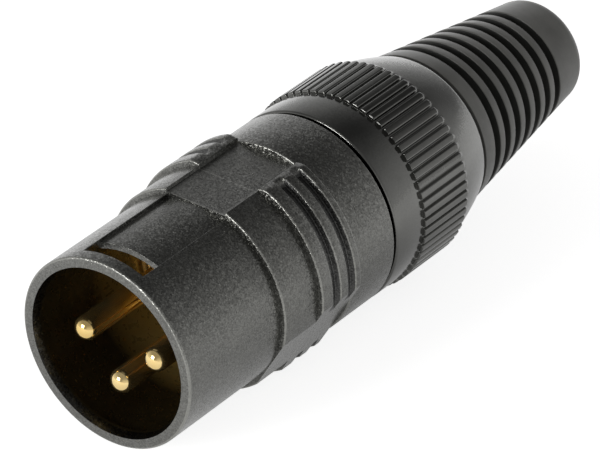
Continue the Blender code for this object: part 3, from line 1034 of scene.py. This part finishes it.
def black_metal(name, tone, roughness, grain):
    """Black-plated metal under a thin clear skin, with a fine blasted grain that sparkles."""
    finish = Finish(name, roughness, 1.0)
    finish.fix("Coat Weight", coat_weight)
    finish.fix("Coat Roughness", coat_smoothing * roughness)
    shares = (1.0 - metal_tone_drift, 1.0 + metal_tone_drift)
    tones = [tuple(c * share for c in tone) for share in shares]
    plating = finish.mix(finish.tone_drift(metal_tone_scale), *tones)
    glint = finish.spread(finish.grains(glint_scale), 0.0, 1.0, 0.0, glint_share * grain)
    finish.drive("Base Color", finish.mix(glint, plating, glint_tone))
    finish.drift_gloss(metal_gloss_scale, roughness * (1.0 - metal_gloss_drift),
                       roughness * (1.0 + metal_gloss_drift))
    facets = finish.facets(facet_scale, facet_tilt * grain)
    pits = finish.noise(pit_scale)
    finish.drive("Normal", finish.bump(pits, pit_strength * grain, pit_depth, facets))
    return finish.material


def bore_shade_and_reflection():
    """The inside of the mouth, with brown-black painted shade at its front and a painted
    reflection of the gold contacts deep inside.
    """
    finish = Finish("mouth_bore_painted", bore_roughness, bore_metallic)
    split = finish.add("ShaderNodeSeparateXYZ")
    finish.link(finish.place, split.inputs["Vector"])
    start, end = (mouth_y + station for station in bore_reflection_fade)
    depth = finish.spread(split.outputs["Y"], start, end, 0.0, 1.0)
    drift = finish.tone_drift(bore_tone_scale, bore_tone_detail, bore_tone_span)
    near = finish.mix(drift, *bore_painted_shade_tones)
    painted_reflection = finish.mix(drift, *bore_painted_reflection_tones)
    finish.drive("Base Color", finish.mix(depth, near, painted_reflection))
    finish.drift_gloss(bore_gloss_scale, *bore_gloss)
    finish.roughen(**bore_skin)
    return finish.material


def gold(name, roughness, metallic):
    """Bright gold plating with faint turning marks."""
    finish = Finish(name, roughness, metallic)
    finish.drive("Base Color", finish.mix(finish.tone_drift(gold_tone_scale), *gold_tones))
    finish.drift_gloss(gold_gloss_scale, *(roughness * share for share in gold_gloss_drift))
    marks = finish.add("ShaderNodeTexWave", wave_type="BANDS", bands_direction="Y")
    marks.inputs["Scale"].default_value = turning_scale
    marks.inputs["Distortion"].default_value = turning_distortion
    finish.link(finish.place, marks.inputs["Vector"])
    finish.drive("Normal", finish.bump(marks.outputs["Fac"], turning_strength, turning_depth))
    return finish.material


def moulded(name, tones, roughness, tone_scale, gloss, gloss_scale, skin):
    """A moulded finish, whose tone and gloss drift over a slightly uneven skin."""
    finish = Finish(name, roughness, 0.0)
    finish.drive("Base Color", finish.mix(finish.tone_drift(tone_scale), *tones))
    finish.drift_gloss(gloss_scale, *gloss)
    finish.roughen(**skin)
    return finish


def rubber(name, tones):
    """Matt, slightly warm black rubber with a faint mottled skin."""
    finish = moulded(name, tones, **rubber_finish)
    finish.fix("Sheen Weight", rubber_sheen)
    finish.fix("Sheen Roughness", rubber_sheen_roughness)
    return finish.material


def dress(node, material):
    """Give a CAD node its finished material."""
    mesh = frame["nodes"][node].data
    mesh.materials.clear()
    mesh.materials.append(material)


def build_camera():
    """The camera of the photograph, with its long lens."""
    data = bpy.data.cameras.new("camera")
    data.lens = camera_lens
    data.sensor_width = camera_sensor
    data.clip_start, data.clip_end = camera_reach
    camera = bpy.data.objects.new("camera", data)
    bpy.context.collection.objects.link(camera)
    turn = Matrix((camera_right, -camera_down, -camera_forward)).transposed().to_4x4()
    camera.matrix_world = Matrix.Translation(at(0.0, 0.0, 0.0) + camera_from_mouth) @ turn
    bpy.context.scene.camera = camera


def build_key_lamp():
    """A soft lamp before the mouth, a little above it and to its left."""
    lamp = bpy.data.lights.new("key", "AREA")
    lamp.size = key_size
    lamp.energy = key_power
    key = bpy.data.objects.new("key", lamp)
    bpy.context.collection.objects.link(key)
    direction = key_direction.normalized()
    key.location = direction * key_distance
    key.rotation_mode = "QUATERNION"
    key.rotation_quaternion = direction.to_track_quat("Z", "Y")


def build_world():
    """A pale surround, white to the camera, and darker overhead as in a plain studio."""
    world = bpy.data.worlds.new("studio")
    bpy.context.scene.world = world
    world.use_nodes = True
    world.node_tree.nodes.clear()
    graph = Graph(world.node_tree)
    split = graph.add("ShaderNodeSeparateXYZ")
    graph.link(graph.add("ShaderNodeTexCoord").outputs["Generated"], split.inputs["Vector"])
    across, along, up = (split.outputs[key] for key in "XYZ")
    aside = graph.spread(graph.calculate("ABSOLUTE", across), *world_middle)
    foot = graph.spread(up, *world_middle_foot)
    dimmed = graph.calculate("MULTIPLY", foot, graph.calculate("SUBTRACT", 1.0, aside))
    middle = graph.calculate("SUBTRACT", 1.0, dimmed)
    back = graph.calculate("MULTIPLY", graph.spread(up, *world_fall), middle)
    strength = graph.calculate("MAXIMUM", back, graph.spread(along, *world_front))
    surround = graph.add("ShaderNodeBackground")
    surround.inputs["Color"].default_value = white
    graph.link(strength, surround.inputs["Strength"])
    backdrop = graph.add("ShaderNodeBackground")
    backdrop.inputs["Color"].default_value = white
    mix = graph.add("ShaderNodeMixShader")
    graph.link(graph.add("ShaderNodeLightPath").outputs["Is Camera Ray"], mix.inputs["Fac"])
    graph.link(surround.outputs["Background"], mix.inputs[1])
    graph.link(backdrop.outputs["Background"], mix.inputs[2])
    graph.link(mix.outputs["Shader"], graph.add("ShaderNodeOutputWorld").inputs["Surface"])


def floor_paper():
    """White paper that the camera sees as white, with a painted shadow near the plug in the glow
    that metal reflects.
    """
    finish = Finish("floor_paper", floor_roughness, 0.0)
    finish.drive("Base Color", finish.mix(finish.tone_drift(floor_tone_scale), *floor_tones))
    path = finish.add("ShaderNodeLightPath")
    away = finish.add("ShaderNodeVectorMath", operation="LENGTH")
    finish.link(finish.place, away.inputs[0])
    reflected = finish.calculate("MAXIMUM", path.outputs["Is Glossy Ray"],
                                 path.outputs["Is Transmission Ray"])
    # Painted shadow near the plug on the glow that metal reflects
    shade = finish.calculate("MULTIPLY", reflected,
                             finish.spread(away.outputs["Value"], *floor_painted_shadow))
    echo = finish.calculate("MULTIPLY", shade, floor_echo)
    lift = finish.calculate("MULTIPLY", path.outputs["Is Camera Ray"], floor_lift)
    finish.fix("Emission Color", white)
    finish.drive("Emission Strength", finish.calculate("ADD", lift, echo))
    return finish.material


def build_floor():
    """A plain white floor that keeps the plug's shadow."""
    bm = bmesh.new()
    bmesh.ops.create_grid(bm, x_segments=1, y_segments=1, size=floor_half)
    mesh = bpy.data.meshes.new("floor")
    bm.to_mesh(mesh)
    bm.free()
    mesh.materials.append(floor_paper())
    floor = bpy.data.objects.new("floor", mesh)
    bpy.context.collection.objects.link(floor)


def main():
    """Light the stage, then build and dress every piece."""
    build_camera()
    build_world()
    build_floor()
    build_key_lamp()
    cast = black_metal("shell_black", shell_tone, shell_roughness, shell_grain)
    # Painted shade for the grip grooves and the mouth's lead-in
    painted_shade_metal = black_metal("groove_painted_shade", painted_shade_tone, shell_roughness, painted_shade_grain)
    # Painted highlight for rounded edges and groove lips
    painted_highlight_metal = black_metal("edge_painted_highlight", painted_highlight_tone, shell_roughness, shell_grain)
    build_shell((cast, bore_shade_and_reflection(), painted_shade_metal, painted_highlight_metal))
    build_thread(cast)
    build_cap(black_metal("cap_black", cap_tone, cap_roughness, cap_grain))
    # The second rubber is painted shade for the boot's grooves
    build_boot(rubber("boot_rubber", rubber_tones), rubber("boot_groove_painted_shade", rubber_painted_shade_tones))
    polished = gold("pin_gold", **pin_finish)
    for pin_name, clock in pin_clock_angles.items():
        build_pin(pin_name, clock, polished)
    build_ground_ring(gold("spring_gold", **spring_finish))
    dress("pin_insert", moulded("insert_plastic", insert_tones, **insert_finish).material)
    dress("cable_clamp", moulded("clamp_plastic_skin", clamp_tones, **clamp_finish).material)


main()
bpy.context.scene.view_settings.view_transform = "Standard"
